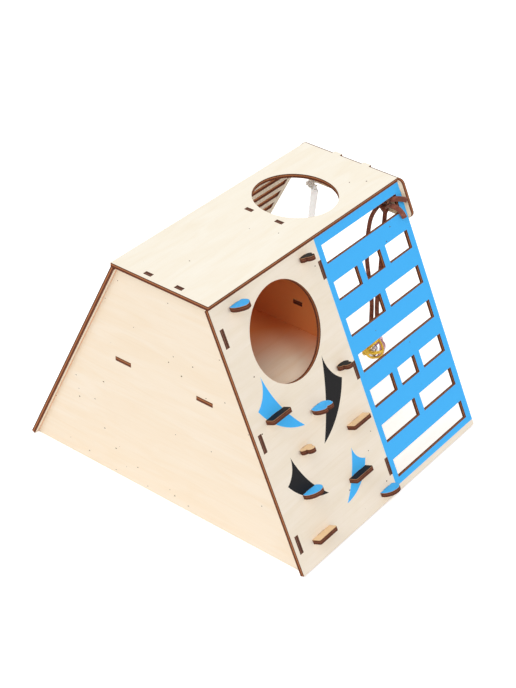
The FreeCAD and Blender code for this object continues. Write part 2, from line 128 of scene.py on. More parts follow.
def stretch(tree, value, low, high, newLow, newHigh):  # clamped to the new range
    inputs = {0: value, 1: low, 2: high, 3: newLow, 4: newHigh}
    return addNode(tree, "MapRange", inputs).outputs[0]


def mixColours(tree, share, one, two):
    return addNode(tree, "Mix", {0: share, 6: one, 7: two}, data_type="RGBA").outputs[2]


def mixValues(tree, share, one, two):
    return addNode(tree, "Mix", {0: share, 2: one, 3: two}).outputs[0]


def compare(tree, operation, one, two):  # a number from two vectors
    return addNode(tree, "VectorMath", {0: one, 1: two}, operation=operation).outputs["Value"]


def noise(tree, place, scale, detail=2.0, roughness=0.5, distortion=0.0):
    inputs = {"Vector": place, "Scale": scale, "Detail": detail, "Roughness": roughness,
              "Distortion": distortion}
    return addNode(tree, "TexNoise", inputs).outputs[0]


def bumped(tree, height, strength, depth):
    inputs = {"Height": height, "Strength": strength, "Distance": depth * mm}
    return addNode(tree, "Bump", inputs).outputs[0]


def addStops(tree, value, stops):  # stops as place and hex colour
    ramp = addNode(tree, "ValToRGB", {0: value})
    elements = ramp.color_ramp.elements
    while len(elements) < len(stops):
        elements.new(1.0)
    for element, (place, code) in zip(elements, stops):
        element.position = place
        element.color = linearColour(code)
    return ramp.outputs[0]


def finishPiece(name, shape, material, smooth=True):
    bmesh.ops.remove_doubles(shape, verts=shape.verts, dist=0.01 * mm)
    bmesh.ops.recalc_face_normals(shape, faces=shape.faces)
    mesh = bpy.data.meshes.new(name)
    shape.to_mesh(mesh)
    shape.free()
    for polygon in mesh.polygons:
        polygon.use_smooth = smooth
    piece = bpy.data.objects.new(name, mesh)
    mesh.materials.append(material)
    bpy.context.scene.collection.objects.link(piece)
    return piece


# Birch plywood, 3 mm, cut by laser: pale even veneer with small flecks, and scorched edges
# that show the plies

plywood = {
    "sheet": 3.0,  # mm
    "figure": (55.0, 10.0, 25.0),  # growth figure: mm along the grain, across it and through the sheet
    "figureShare": 0.8,
    "grain": (70.0, 1.6, 50 / 3),
    "grainShare": 0.22,
    "grainStrength": 0.25,
    "grainDepth": 0.05,  # mm
    "fleck": (9.0, 7.0),  # mm between the places of the brown flecks
    "fleckRadius": (0.042, 0.072),  # share of that spacing
    "fleckPatch": (0.38, 0.58),  # where the flecks gather
    "fewFlecks": 0.05,  # share of the places that have one, outside the patches
    "someFlecks": 0.5,  # and inside them
    "fleckBrown": "#5C4630",
    # warm brown painted shade on the closed chamber's faces, standing in for its shadow and bounced light
    "chamberShade": "#F59A50",
    "chamberShadeShare": 0.92,
    "chamberLitSpot": (-46.0, -58.0, 97.0),  # the painted shade thins towards this point on the shelf, under the round hole: a painted pool of light
    "chamberLitReach": (20.0, 58.0),  # mm from that point, brightest painted light to full painted shade
    "chamber": (-98.5, 4.2),  # mm, left and right ends of the room with painted shade
    "scorch": "#B98558",
    "scorchRadius": 0.45,  # mm
    "scorchShare": 0.8,
    "stripe": (0.6, 0.6, 4.8),  # mm, burn stripes on the cut edges, drawn through the sheet
    "burnPatch": 90.0,  # per m
    "plyWobble": 0.08,  # share of the sheet
    "faceRough": 0.62,
    "inkRough": 0.6,
    "edgeRough": 0.8,
    "specular": 0.18,
}

# Bands through the sheet, from its outer face to its inner one, and the stripes burnt across them
panelEdge = {
    "plies": ((0.0, "#46241A"), (0.20, "#61362A"), (0.28, "#BA7A50"), (0.50, "#AA6A43"),
              (0.60, "#572E21"), (0.78, "#643626"), (0.85, "#8A5037"), (1.0, "#48271C")),
    "burnt": "#5E3423",
    "burn": 0.35,
}
wallEdge = {
    "plies": ((0.0, "#36201A"), (0.16, "#4A2D24"), (0.26, "#8A6150"), (0.48, "#7A5142"),
              (0.58, "#40261D"), (0.70, "#4A2D22"), (0.78, "#7C5442"), (1.0, "#341D17")),
    "burnt": "#422720",
    "burn": 0.6,
}
# on the holds the top band of the cut is pale tan: toasted wood, lightened as a painted highlight along the
# top edge
holdEdge = {
    "plies": ((0.0, "#C79A70"), (0.09, "#A87450"), (0.14, "#4C2A20"), (0.34, "#6A3C2C"),
              (0.42, "#8A553C"), (0.56, "#7A4632"), (0.62, "#4A281D"), (0.80, "#6E402E"),
              (0.90, "#5A3224"), (1.0, "#3F221A")),
    "burnt": "#4A291F",
    "burn": 0.6,
}

lean = 25.3  # degrees
slopeTurn = 90 - lean
frontFoot = (-1.5, -113.508, 1.282)  # mm
backFoot = (-1.5, 119.504, 1.282)

blueInk = "#45B6FD"
blackInk = "#19181A"
inkBounce = 0.3  # how much of its colour thin ink throws on its neighbours

# Each fin, on the front panel's face: top tip, side corner, tail tip, and a point on each arc between them
fins = (
    {"ink": blueInk, "corners": ((-78.1, 128.6), (-89.5, 110.3), (-55.6, 83.3)),
     "arcs": ((-83.0, 115.2), (-77.0, 94.2), (-69.4, 103.0))},
    {"ink": blackInk, "corners": ((-21.7, 114.7), (-10.5, 93.5), (-44.9, 63.9)),
     "arcs": ((-17.8, 100.9), (-23.7, 76.4), (-32.0, 86.0))},
    {"ink": blackInk, "corners": ((-77.1, 71.8), (-87.2, 56.7), (-55.5, 34.6)),
     "arcs": ((-81.6, 60.6), (-75.0, 43.2), (-69.0, 51.6))},
    {"ink": blueInk, "corners": ((-23.2, 49.4), (-13.9, 36.8), (-42.9, 19.3)),
     "arcs": ((-20.6, 41.6), (-25.0, 24.6), (-31.2, 33.0))},
)

paintedField = {"left": 5.3, "bottom": 4.0}  # the lattice's blue field, mm on the front panel


def circleThrough(a, b, c):
    d = 2 * (a[0] * (b[1] - c[1]) + b[0] * (c[1] - a[1]) + c[0] * (a[1] - b[1]))
    squares = [p[0] ** 2 + p[1] ** 2 for p in (a, b, c)]
    x = (squares[0] * (b[1] - c[1]) + squares[1] * (c[1] - a[1]) + squares[2] * (a[1] - b[1])) / d
    y = (squares[0] * (c[0] - b[0]) + squares[1] * (a[0] - c[0]) + squares[2] * (b[0] - a[0])) / d
    return (x, y), math.dist((x, y), a)


def finMask(tree, flat, fin):  # 1 inside three arcs: the lower one bulges, the other two are hollow
    tip, corner, tail = fin["corners"]
    arcs = (
        (circleThrough(tip, fin["arcs"][0], corner), "GREATER_THAN"),
        (circleThrough(corner, fin["arcs"][1], tail), "LESS_THAN"),
        (circleThrough(tail, fin["arcs"][2], tip), "GREATER_THAN"),
    )
    tests = []
    for (centre, radius), side in arcs:
        away = compare(tree, "DISTANCE", flat, (centre[0] * mm, centre[1] * mm, 0))
        tests.append(calculate(tree, side, away, radius * mm))
    # and on the inner side of the straight lines from the tip
    middle = sum((Vector(point) for point in fin["corners"]), Vector((0, 0))) / 3
    for end in (corner, tail):
        across = Vector((tip[1] - end[1], end[0] - tip[0], 0)).normalized()
        if across.dot((middle - Vector(tip)).to_3d()) < 0:
            across = -across
        level = across.dot(Vector((*tip, 0))) * mm
        reach = compare(tree, "DOT_PRODUCT", flat, across)
        tests.append(calculate(tree, "GREATER_THAN", reach, level))
    return product(tree, *tests)


def flatPlace(tree, place, origin, turn):  # object coordinates laid into the panel's own plane
    inputs = {"Vector": place.outputs["Object"], "Location": inMetres(origin), "Rotation": turn}
    return addNode(tree, "Mapping", inputs, vector_type="TEXTURE").outputs[0]


def inLengths(tree, flat, lengths, offset=(0, 0, 0)):  # the same place, counted in lengths of a pattern
    scale = [1 / (length * mm) for length in lengths]
    while len(scale) < 3:
        scale.append(0.0)
    inputs = {"Vector": flat, "Scale": scale, "Location": offset}
    return addNode(tree, "Mapping", inputs).outputs[0]


def faceMasks(tree, place, turn):  # 1 on the outer face, and 1 on the inner one
    through = Matrix.Rotation(turn[2], 3, "Z") @ Matrix.Rotation(turn[0], 3, "X") @ Vector((0, 0, 1))
    facing = compare(tree, "DOT_PRODUCT", place.outputs["Normal"], through)
    return calculate(tree, "GREATER_THAN", facing, 0.7), calculate(tree, "LESS_THAN", facing, -0.7)


def veneerColour(tree, flat, grain, look):  # a soft growth figure under fine grain lines
    at = inLengths(tree, flat, plywood["figure"], look.get("offset", (0, 0, 0)))
    figure = noise(tree, at, 1.0, detail=3.0, distortion=1.2)
    tone = stretch(tree, figure, 0.3, 0.75, 0.0, plywood["figureShare"])
    veneer = mixColours(tree, tone, linearColour(look["pale"]), linearColour(look["warm"]))
    line = stretch(tree, grain, 0.52, 0.8, 0.0, plywood["grainShare"])
    return mixColours(tree, line, veneer, linearColour(look["line"]))


def fleckMask(tree, flat, look):  # a few short brown specks, gathered in patches
    at = inLengths(tree, flat, plywood["fleck"], look.get("offset", (0, 0, 0)))
    cells = addNode(tree, "TexVoronoi", {"Vector": at, "Scale": 1.0})
    draw = addNode(tree, "SeparateColor", {0: cells.outputs["Color"]})
    least, most = plywood["fleckRadius"]
    radius = calculate(tree, "MULTIPLY_ADD", draw.outputs[1], most - least, least)
    speck = calculate(tree, "LESS_THAN", cells.outputs["Distance"], radius)
    patch = noise(tree, at, 0.3, detail=1.0)
    flecks = look.get("flecks", plywood["someFlecks"])
    chance = stretch(tree, patch, *plywood["fleckPatch"], plywood["fewFlecks"], flecks)
    return product(tree, speck, calculate(tree, "GREATER_THAN", chance, draw.outputs[0]))


def addPaintedShade(tree, veneer, place, outer, inner, look):
    # inside the closed chamber the faces take a warm brown painted shade for the chamber's shadow and bounced
    # light, thinner near the round hole as a painted pool of the light coming in there
    along = addNode(tree, "SeparateXYZ", {0: place.outputs["Object"]}).outputs[0]
    left, right = plywood["chamber"]
    shadedSide = {"inner": inner, "outer": outer, "both": 1.0, "none": 0.0}[look.get("paintedShade", "inner")]
    mask = product(tree, calculate(tree, "GREATER_THAN", along, left * mm),
                   calculate(tree, "LESS_THAN", along, right * mm), shadedSide)
    fromHole = compare(tree, "DISTANCE", place.outputs["Object"], inMetres(plywood["chamberLitSpot"]))
    near, far = plywood["chamberLitReach"]
    thinnest = look.get("chamberShadeLeast", plywood["chamberShadeShare"])
    share = stretch(tree, fromHole, near * mm, far * mm, thinnest, plywood["chamberShadeShare"])
    paintedShade = mixColours(tree, share, veneer, linearColour(plywood["chamberShade"]))
    return mixColours(tree, mask, veneer, paintedShade)


def addInk(tree, colour, mask, code, spots):  # printed ink, with pinholes where the veneer shows
    path = addNode(tree, "LightPath")
    thin = calculate(tree, "MULTIPLY_ADD", path.outputs["Is Diffuse Ray"], inkBounce - 1, 1.0)
    return mixColours(tree, product(tree, mask, spots, thin), colour, linearColour(code))


def addInks(tree, veneer, flat, outer, fleck, look):
    spots = calculate(tree, "LESS_THAN", fleck, 0.5)
    if "ink" in look:
        return addInk(tree, veneer, outer, look["ink"], spots), outer
    if "field" not in look:
        return veneer, 0.0
    axes = addNode(tree, "SeparateXYZ", {0: flat})
    beyond = calculate(tree, "GREATER_THAN", axes.outputs[0], look["field"]["left"] * mm)
    above = calculate(tree, "GREATER_THAN", axes.outputs[1], look["field"]["bottom"] * mm)
    inked = product(tree, beyond, above, outer)
    veneer = addInk(tree, veneer, inked, blueInk, spots)
    for fin in look["fins"]:
        mask = product(tree, finMask(tree, flat, fin), outer)
        veneer = addInk(tree, veneer, mask, fin["ink"], spots)
        inked = calculate(tree, "MAXIMUM", inked, mask)
    return veneer, inked


def scorchMask(tree):  # a thin line where a face meets a cut
    soft = addNode(tree, "Bevel", {"Radius": plywood["scorchRadius"] * mm}, samples=6)
    hard = addNode(tree, "NewGeometry")
    match = compare(tree, "DOT_PRODUCT", soft.outputs[0], hard.outputs["True Normal"])
    return stretch(tree, match, 0.98, 0.8, 0.0, plywood["scorchShare"])


def edgeColour(tree, flat, grain, stripes, cut):  # plies as bands, with burn stripes across them
    height = addNode(tree, "SeparateXYZ", {0: flat}).outputs[2]
    depth = calculate(tree, "MULTIPLY", height, -1 / (plywood["sheet"] * mm))
    depth = calculate(tree, "ADD", depth, calculate(tree, "MULTIPLY", grain, plywood["plyWobble"]))
    shifted = calculate(tree, "ADD", depth, -plywood["plyWobble"] / 2)
    plies = addStops(tree, shifted, cut["plies"])
    patches = noise(tree, flat, plywood["burnPatch"])
    burn = stretch(tree, product(tree, stripes, patches), 0.18, 0.42, 0.0, cut["burn"])
    return mixColours(tree, burn, plies, linearColour(cut["burnt"]))


def plywoodMaterial(name, origin, turn, look):
    material, tree = newMaterial(name)
    turn = [math.radians(angle) for angle in turn]
    place = addNode(tree, "TexCoord")
    flat = flatPlace(tree, place, origin, turn)
    outer, inner = faceMasks(tree, place, turn)
    anyFace = calculate(tree, "ADD", outer, inner)
    grain = noise(tree, inLengths(tree, flat, plywood["grain"]), 1.0, detail=5.0, roughness=0.65)
    stripes = noise(tree, inLengths(tree, flat, plywood["stripe"]), 1.0)
    fleck = fleckMask(tree, flat, look)

    veneer = veneerColour(tree, flat, grain, look)
    veneer = mixColours(tree, fleck, veneer, linearColour(plywood["fleckBrown"]))
    veneer = addPaintedShade(tree, veneer, place, outer, inner, look)
    veneer, inked = addInks(tree, veneer, flat, outer, fleck, look)
    veneer = mixColours(tree, scorchMask(tree), veneer, linearColour(plywood["scorch"]))
    edge = edgeColour(tree, flat, grain, stripes, look.get("edge", panelEdge))

    faceRough = stretch(tree, inked, 0.0, 1.0, plywood["faceRough"], plywood["inkRough"])
    height = mixValues(tree, anyFace, stripes, grain)
    shader = addNode(tree, "BsdfPrincipled", {
        "Base Color": mixColours(tree, anyFace, edge, veneer),
        "Roughness": mixValues(tree, anyFace, plywood["edgeRough"], faceRough),
        "Normal": bumped(tree, height, plywood["grainStrength"], plywood["grainDepth"]),
        "IOR": 1.45,
        "Specular IOR Level": plywood["specular"],
    })
    showShader(tree, shader)
    return material


# roof, end and front are one birch in lit and shaded copies: the roof's paler cream is painted light, the
# end's peach painted warm light, the front's greyer tone painted shade
veneers = {
    "roof": {"pale": "#FCF5E6", "warm": "#F8EDD8", "line": "#EEDBBE"},
    "end": {"pale": "#F9EBD8", "warm": "#F6E3C9", "line": "#EBD2AF", "offset": (3.1, 1.7, 0.4),
            "edge": wallEdge, "flecks": 1.0},
    "front": {"pale": "#F4E9DA", "warm": "#EDE0CB", "line": "#E0CAAB", "offset": (7.3, 4.9, 1.2)},
    "plain": {"pale": "#F5E6CE", "warm": "#EFDABB", "line": "#E0C196", "offset": (1.4, 8.8, 2.2)},
    "hold": {"pale": "#EFD3AC", "warm": "#E3C195", "line": "#C99F6C", "offset": (5.4, 2.8, 3.2),
             "edge": holdEdge, "paintedShade": "none"},
}
# the shelf and the partition's chamber side carry the chamber's painted shade, the shelf lightest under the
# hole
shadedShelf = dict(veneers["plain"], paintedShade="both", chamberShadeLeast=0.03)
shadedPartition = dict(veneers["plain"], paintedShade="outer", edge=wallEdge)
paintedFront = dict(veneers["front"], field=paintedField, fins=fins)

# Each panel: a point on its outer face, the turn of that face, and its look
panels = {
    "roof_panel": ((0, 0, 169.729), (0, 0, 0), veneers["roof"]),
    "shelf": ((0, 0, 97.0), (0, 0, 0), shadedShelf),
    "left_end_panel": ((-98.0, 0, 0), (90, 0, -90), veneers["end"]),
    "partition_panel": ((1.1, 0, 0), (90, 0, -90), shadedPartition),
    "header_plate": ((101.5, 0, 0), (90, 0, 90), veneers["plain"]),
    "front_panel": (frontFoot, (slopeTurn, 0, 0), paintedFront),
    "back_panel": (backFoot, (slopeTurn, 0, 180), veneers["front"]),
}

# Each hold: place along the house, place up the slope of its top face, and the ink on that face
frontHolds = {
    "hold_middle_black_bar": (-78.6, 102.56, blackInk),
    "hold_middle_black_cloud": (-9.7, 102.12, blackInk),
    "hold_middle_blue_kidney": (-42.6, 89.2, blueInk),
    "hold_lower_plain_cloud": (-65.2, 71.65, None),
    "hold_lower_plain_bar": (-13.2, 63.7, None),
    "hold_lower_blue_oval": (-72.7, 45.6, blueInk),
    "hold_lower_black_bar": (-27.0, 32.46, blackInk),
    "hold_bottom_plain_bar": (-75.4, 16.23, None),
    "hold_bottom_blue_oval": (-6.2, 8.72, blueInk),
    "hold_top_blue_oval": (-79.0, 177.5, blueInk),
    "hold_top_dark_cloud": (-10.3, 177.8, blackInk),
}
backBars = {
    "back_bar_1": (-7.0, 172.0, None),
    "back_bar_2": (-47.0, 137.75, None),
    "back_bar_3": (-77.0, 103.5, None),
    "back_bar_4": (-35.0, 69.25, None),
    "back_bar_5": (-71.0, 35.0, None),
}


def dress(node, origin, turn, look):
    material = plywoodMaterial("laserCutBirchPly_" + node, origin, turn, look)
    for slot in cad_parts[node].material_slots:
        slot.material = material


def dressHolds(holds, foot, side):  # side is 1 on the front and -1 on the back
    slope = math.radians(lean)
    for node, (along, climb, ink) in holds.items():
        inward = side * climb * math.sin(slope)
        origin = (along, foot[1] + inward, foot[2] + climb * math.cos(slope))
        look = dict(veneers["hold"])
        if ink:
            look["ink"] = ink
        dress(node, origin, (-side * lean, 0, 0), look)


for panel, (origin, turn, look) in panels.items():
    dress(panel, origin, turn, look)
dressHolds(frontHolds, frontFoot, 1)
dressHolds(backBars, backFoot, -1)
print("plywood dressed")


# The bar hold on the partition's far side, whose tab end shows in the slot over the shelf

partitionBar = {
    "wall": (1.1, 4.1),  # the partition's two faces, mm
    "middle": (-27.2, 116.55),  # across and up
    "thick": 3.0,
    "length": 18.3,
    "reach": 6.5,
    "tab": 7.0,
    "corner": 1.0,
    "cornerSteps": 4,
}


def addBlock(shape, centre, size):
    place = Matrix.Translation(inMetres(centre)) @ Matrix.Diagonal((*size, 1))
    return bmesh.ops.create_cube(shape, size=mm, matrix=place)["verts"]


def makePartitionBar():
    near, far = partitionBar["wall"]
    side, height = partitionBar["middle"]
    reach, thick = partitionBar["reach"], partitionBar["thick"]
    shape = bmesh.new()
    body = addBlock(shape, (far + reach / 2, side, height), (reach, partitionBar["length"], thick))
    outerCorners = []
    for edge in {edge for vertex in body for edge in vertex.link_edges}:
        one, two = edge.verts
        upright = abs(one.co.z - two.co.z) > mm
        if upright and min(one.co.x, two.co.x) > (far + reach / 2) * mm:
            outerCorners.append(edge)
    bmesh.ops.bevel(shape, geom=outerCorners, offset=partitionBar["corner"] * mm, affect="EDGES",
                    segments=partitionBar["cornerSteps"], profile=0.5, material=-1)
    addBlock(shape, ((near + far) / 2, side, height), (far - near, partitionBar["tab"], thick))
    topFace = (0, 0, height + thick / 2)
    wood = plywoodMaterial("laserCutBirchPly_partition_bar", topFace, (0, 0, 0), veneers["hold"])
    bar = finishPiece("partition_bar", shape, wood, smooth=False)
    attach(bar, "house")


makePartitionBar()
print("partition's bar made")


# Strips of suede and ribbon, swept along a route

def splinePoints(route, smooth=16):  # the route's points as a NURBS spline, read back as a line
    curve = bpy.data.curves.new("route", "CURVE")
    curve.dimensions = "3D"
    curve.resolution_u = smooth
    spline = curve.splines.new("NURBS")
    spline.points.add(len(route) - 1)
    for point, place in zip(spline.points, route):
        point.co = (*inMetres(place), 1)
    spline.order_u = 3
    spline.use_endpoint_u = True
    holder = bpy.data.objects.new("route", curve)
    bpy.context.scene.collection.objects.link(holder)
    bpy.context.view_layer.update()
    evaluated = holder.evaluated_get(bpy.context.evaluated_depsgraph_get())
    line = bpy.data.meshes.new_from_object(evaluated)
    points = [line.vertices[0].co.copy()]
    for vertex in line.vertices:
        if (vertex.co - points[-1]).length > 0.01 * mm:
            points.append(vertex.co.copy())
    bpy.data.meshes.remove(line)
    bpy.data.objects.remove(holder)
    bpy.data.curves.remove(curve)
    return points


def stripSection(width, thick, sides=16):  # a flat section with softly rounded edges
    section = []
    for k in range(sides):
        angle = 2 * math.pi * (k + 0.5) / sides
        c, s = math.cos(angle), math.sin(angle)
        wide = math.copysign(abs(c) ** 0.45, c) * width / 2
        deep = math.copysign(abs(s) ** 0.6, s) * thick / 2
        section.append((wide, deep))
    return section


def sweepStrip(shape, points, across, width, thick, twist=0.0, closed=False, waver=0.0):
    section = stripSection(width * mm, thick * mm)
    first = across = Vector(across).normalized()
    last = len(points) - 1
    rings = []
    for k, centre in enumerate(points):
        before = points[k - 1] if k or closed else centre
        after = points[(k + 1) % len(points)] if k < last or closed else centre
        along = (after - before).normalized()
        flatAcross = first - along * first.dot(along)
        if closed or flatAcross.length < 0.35:  # turning towards its own width, it follows its last turn
            flatAcross = across - along * across.dot(along)
        across = flatAcross.normalized()
        share = k / last
        angle = math.radians(twist) * share + waver * math.sin(9.0 * share)
        wide = across.copy()
        wide.rotate(Matrix.Rotation(angle, 3, along))
        deep = along.cross(wide)
        rings.append([shape.verts.new(centre + wide * u + deep * v) for u, v in section])
    count = len(section)
    pairs = list(zip(rings, rings[1:])) + ([(rings[-1], rings[0])] if closed else [])
    for one, two in pairs:
        for k in range(count):
            beside = (k + 1) % count
            shape.faces.new((one[k], one[beside], two[beside], two[k]))
    if not closed:
        shape.faces.new(rings[0])
        shape.faces.new(rings[-1])


def knotPoints(centre, reach, turns=0.0, count=72):  # a loop that crosses itself three times, pulled tight
    points = []
    for k in range(count):
        t = 2 * math.pi * k / count + turns
        x = -math.sin(3 * t)
        y = (math.sin(t) + 2 * math.sin(2 * t)) / 2.8
        z = (math.cos(t) - 2 * math.cos(2 * t)) / 2.9
        step = (reach[0] * x, reach[1] * y, reach[2] * z)
        points.append(inMetres([middle + part for middle, part in zip(centre, step)]))
    return points


def lineLength(points):
    return sum((b - a).length for a, b in zip(points, points[1:]))


headerPlate = {
    "inner": 98.5,  # mm
    "outer": 101.5,
    "lowerEdge": 142.0,
    "holeHeight": 151.03,
}


def plateTurn(side, thick):  # through the hanging hole and round the plate's lower edge
    hole = headerPlate["holeHeight"]
    inside = headerPlate["inner"] - thick / 2
    outside = headerPlate["outer"] + thick / 2
    below = headerPlate["lowerEdge"] - thick / 2
    return [(96.6, side, hole - 2.5), (97.4, side, hole - 0.6), (100.0, side, hole - 0.9),
            (outside, side, hole - 1.2), (outside, side, 146.0), (outside, side, 143.2),
            (outside - 0.2, side, below), (100.0, side, below), (inside + 0.2, side, below),
            (inside, side, 143.4), (96.8, side, 145.4)]


suede = {
    "width": 3.0,  # mm
    "thick": 1.5,
    "across": (0.6, -0.8, 0),
    "waver": 0.3,
    "route": [
        (95.5, -29.6, 143.4), (95.5, -29.0, 120.83), (95.5, -29.4, 100.83), (95.5, -28.8, 82.83),
        (95.5, -28.3, 68.68), (95.5, -29.75, 53.68), (95.5, -29.95, 44.68), (95.5, -25.05, 44.68),
        (95.5, -24.75, 53.68), (95.5, -24.4, 67.68), (95.5, -21.4, 81.83), (95.5, -16.8, 102.83),
        (95.5, -17.0, 122.83), (95.5, -18.8, 137.0), (95.5, -23.2, 143.9),
    ],
    "hinge": (95.5, -26.002, 142.329),
    "knotAt": (95.2, -28.4, 147.9),
    "knotReach": (1.25, 3.9, 3.9),
    "knotWidth": 3.0 * 0.95,
    "turnSide": -26.0,
    "brown": "#8A4E3E",
    "dark": "#5C3328",
    "light": "#B07660",
    "nap": 0.35,  # mm, size of the brushed tufts
    "napDepth": 0.15,
    "rub": 5.0,  # mm, size of the rubbed patches
}

# The knot's strips, with the way their width points: the wrap, the tops of both strands, and the tails
suedeWraps = (
    ([(95.6, -31.8, 144.6), (93.2, -28.6, 145.9), (93.2, -25.4, 149.4), (96.4, -24.6, 151.3)], (0, 0.6, 0.8)),
    ([(95.5, -26.6, 149.0), (95.5, -23.4, 148.2), (95.5, -22.0, 145.6), (95.5, -22.4, 142.6)], (1, 0, 0)),
    ([(95.5, -28.8, 147.0), (95.5, -29.9, 145.0), (95.5, -29.6, 142.6)], (1, 0, 0)),
)
suedeTails = {
    "width": 3.6,  # mm
    "thick": 1.8,
    "twist": 8,  # degrees
    "strips": (
        ([(94.5, -31.5, 149.5), (91.5, -34.6, 155.4), (88.9, -37.6, 158.2), (93.2, -41.6, 158.6),
          (98.2, -43.6, 155.9)], (0.53, 0.24, 0.81)),
        ([(94.5, -31.5, 147.5), (90.5, -35.6, 152.6), (87.9, -40.0, 154.4), (90.0, -44.9, 152.4),
          (92.6, -46.9, 146.2)], (0.755, -0.465, 0.466)),
    ),
}


def suedeMaterial():  # suede leather: brushed nap, no shine, mottled brown with paler rubbed patches
    material, tree = newMaterial("suedeLeather")
    place = addNode(tree, "TexCoord").outputs["Object"]
    nap = noise(tree, place, 1 / (suede["nap"] * mm), detail=4.0)
    rub = noise(tree, place, 1 / (suede["rub"] * mm))
    mixed = calculate(tree, "MULTIPLY", calculate(tree, "ADD", nap, rub), 0.5)
    stops = ((0.36, suede["dark"]), (0.52, suede["brown"]), (0.66, suede["light"]))
    shader = addNode(tree, "BsdfPrincipled", {
        "Base Color": addStops(tree, mixed, stops),
        "Roughness": 0.92,
        "Normal": bumped(tree, nap, 0.7, suede["napDepth"]),
        "Sheen Weight": 0.25,
        "Sheen Roughness": 0.5,
        "Specular IOR Level": 0.15,
    })
    showShader(tree, shader)
    return material


def makeLace(material):
    points = splinePoints(suede["route"])
    shape = bmesh.new()
    sweepStrip(shape, points, suede["across"], suede["width"], suede["thick"], waver=suede["waver"])
    lace = finishPiece("suede_lace", shape, material)
    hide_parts("bell_lace")
    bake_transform(lace)
    return lace, points


def makeLaceKnot(material):
    shape = bmesh.new()
    width, thick = suede["width"], suede["thick"]
    loop = knotPoints(suede["knotAt"], suede["knotReach"])
    sweepStrip(shape, loop, (1, 0, 0), suede["knotWidth"], thick, closed=True)
    (wrap, wrapAcross), *strandTops = suedeWraps
    sweepStrip(shape, splinePoints(wrap), wrapAcross, width, thick)
    for route, across in suedeTails["strips"]:
        sweepStrip(shape, splinePoints(route), across, suedeTails["width"], suedeTails["thick"],
                   twist=suedeTails["twist"])
    for route, across in strandTops:
        sweepStrip(shape, splinePoints(route), across, width, thick)
    sweepStrip(shape, splinePoints(plateTurn(suede["turnSide"], thick)), (0, 1, 0), width, thick)
    knot = finishPiece("suede_knot", shape, material)
    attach(knot, "house")
    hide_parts("lace_knot")
    return knot


suedeLeather = suedeMaterial()
lace, lacePath = makeLace(suedeLeather)
laceKnot = makeLaceKnot(suedeLeather)
print("lace and knot made, length", round(lineLength(lacePath), 4))


# The toy ball: two moulded halves snapped together, gold and pink, with a bell inside

ball = {
    "centre": (95.5, -27.502, 31.129),  # mm
    "radius": 9.5,
    "wall": 1.2,
    "ribs": 3,
    "ribWidth": 2.5,
    "rimWidth": 1.1,
    "rimProud": 0.5,
    "hubRadius": 3.2,
    "hubHole": 1.6,
    "eyeRadius": 3.4,
    "eyeWire": 0.8,
    "gold": "#FBD043",
    "pink": "#F4BDCF",
}


def addHoop(shape, centre, axis, start, radius, width, thick, angle=360, steps=48):
    # a rounded band round an axis: its section is placed at start, then spun
    axis = Vector(axis).normalized()
    outward = Vector(start).normalized()
    section = Matrix((axis, outward, axis.cross(outward))).transposed().to_4x4()
    section.translation = inMetres(centre) + outward * (radius - thick / 2) * mm
    ring = bmesh.ops.create_circle(shape, segments=12, radius=0.5, matrix=Matrix())["verts"]
    bmesh.ops.scale(shape, vec=(width * mm, thick * mm, 1), verts=ring)
    bmesh.ops.transform(shape, matrix=section, verts=ring)
    edges = list({edge for vertex in ring for edge in vertex.link_edges})
    full = angle == 360
    bmesh.ops.spin(shape, geom=edges, cent=inMetres(centre), axis=axis, dvec=(0, 0, 0),
                   angle=math.radians(angle), steps=steps, use_merge=full)
    if not full:
        openEdges = [edge for edge in shape.edges if edge.is_boundary]
        bmesh.ops.holes_fill(shape, edges=openEdges, sides=14)


def ballHalf(name, side, material):  # side is -1 for the left half and 1 for the right one
    shape = bmesh.new()
    radius, wall = ball["radius"], ball["wall"]
    x, y, z = ball["centre"]
    for k in range(ball["ribs"]):
        turn = math.pi * (k + 0.5) / ball["ribs"]
        axis = Vector((0, math.cos(turn), math.sin(turn)))
        start = Vector((0, -math.sin(turn), math.cos(turn)))
        if (axis.cross(start)).x * side < 0:
            start = -start
        addHoop(shape, ball["centre"], axis, start, radius, ball["ribWidth"], wall, angle=180, steps=28)
    rimMiddle = (x + side * ball["rimWidth"] / 2, y, z)
    addHoop(shape, rimMiddle, (1, 0, 0), (0, 0, 1), radius + ball["rimProud"], ball["rimWidth"],
            wall + ball["rimProud"])
    hubMiddle = (x + side * (radius - wall / 2), y, z)
    addHoop(shape, hubMiddle, (1, 0, 0), (0, 0, 1), ball["hubRadius"], wall,
            ball["hubRadius"] - ball["hubHole"], steps=32)
    if side < 0:
        eyeMiddle = (x, y, z + radius + ball["eyeRadius"])
        wire = ball["eyeWire"]
        addHoop(shape, eyeMiddle, (0, 1, 0), (0, 0, 1), ball["eyeRadius"] + wire, 2 * wire, 2 * wire,
                steps=36)
    half = finishPiece(name, shape, material)
    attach(half, "toy_ball")
    return half


def plasticMaterial(name, colour, metallic, clear):
    # polypropylene, injection moulded; the gold one is vacuum plated, so it mirrors like metal
    material, tree = newMaterial(name)
    cloud = noise(tree, addNode(tree, "TexCoord").outputs["Object"], 1 / (3 * mm))
    tone = stretch(tree, cloud, 0.3, 0.7, 0.85, 1.12)
    shade = addNode(tree, "HueSaturation", {"Color": linearColour(colour), "Value": tone})
    shader = addNode(tree, "BsdfPrincipled", {
        "Base Color": shade.outputs[0],
        "Metallic": metallic,
        "Roughness": stretch(tree, cloud, 0.3, 0.7, 0.16, 0.30),
        "Normal": bumped(tree, cloud, 0.3, 0.1),
        "Transmission Weight": clear,
    })
    showShader(tree, shader)
    return material


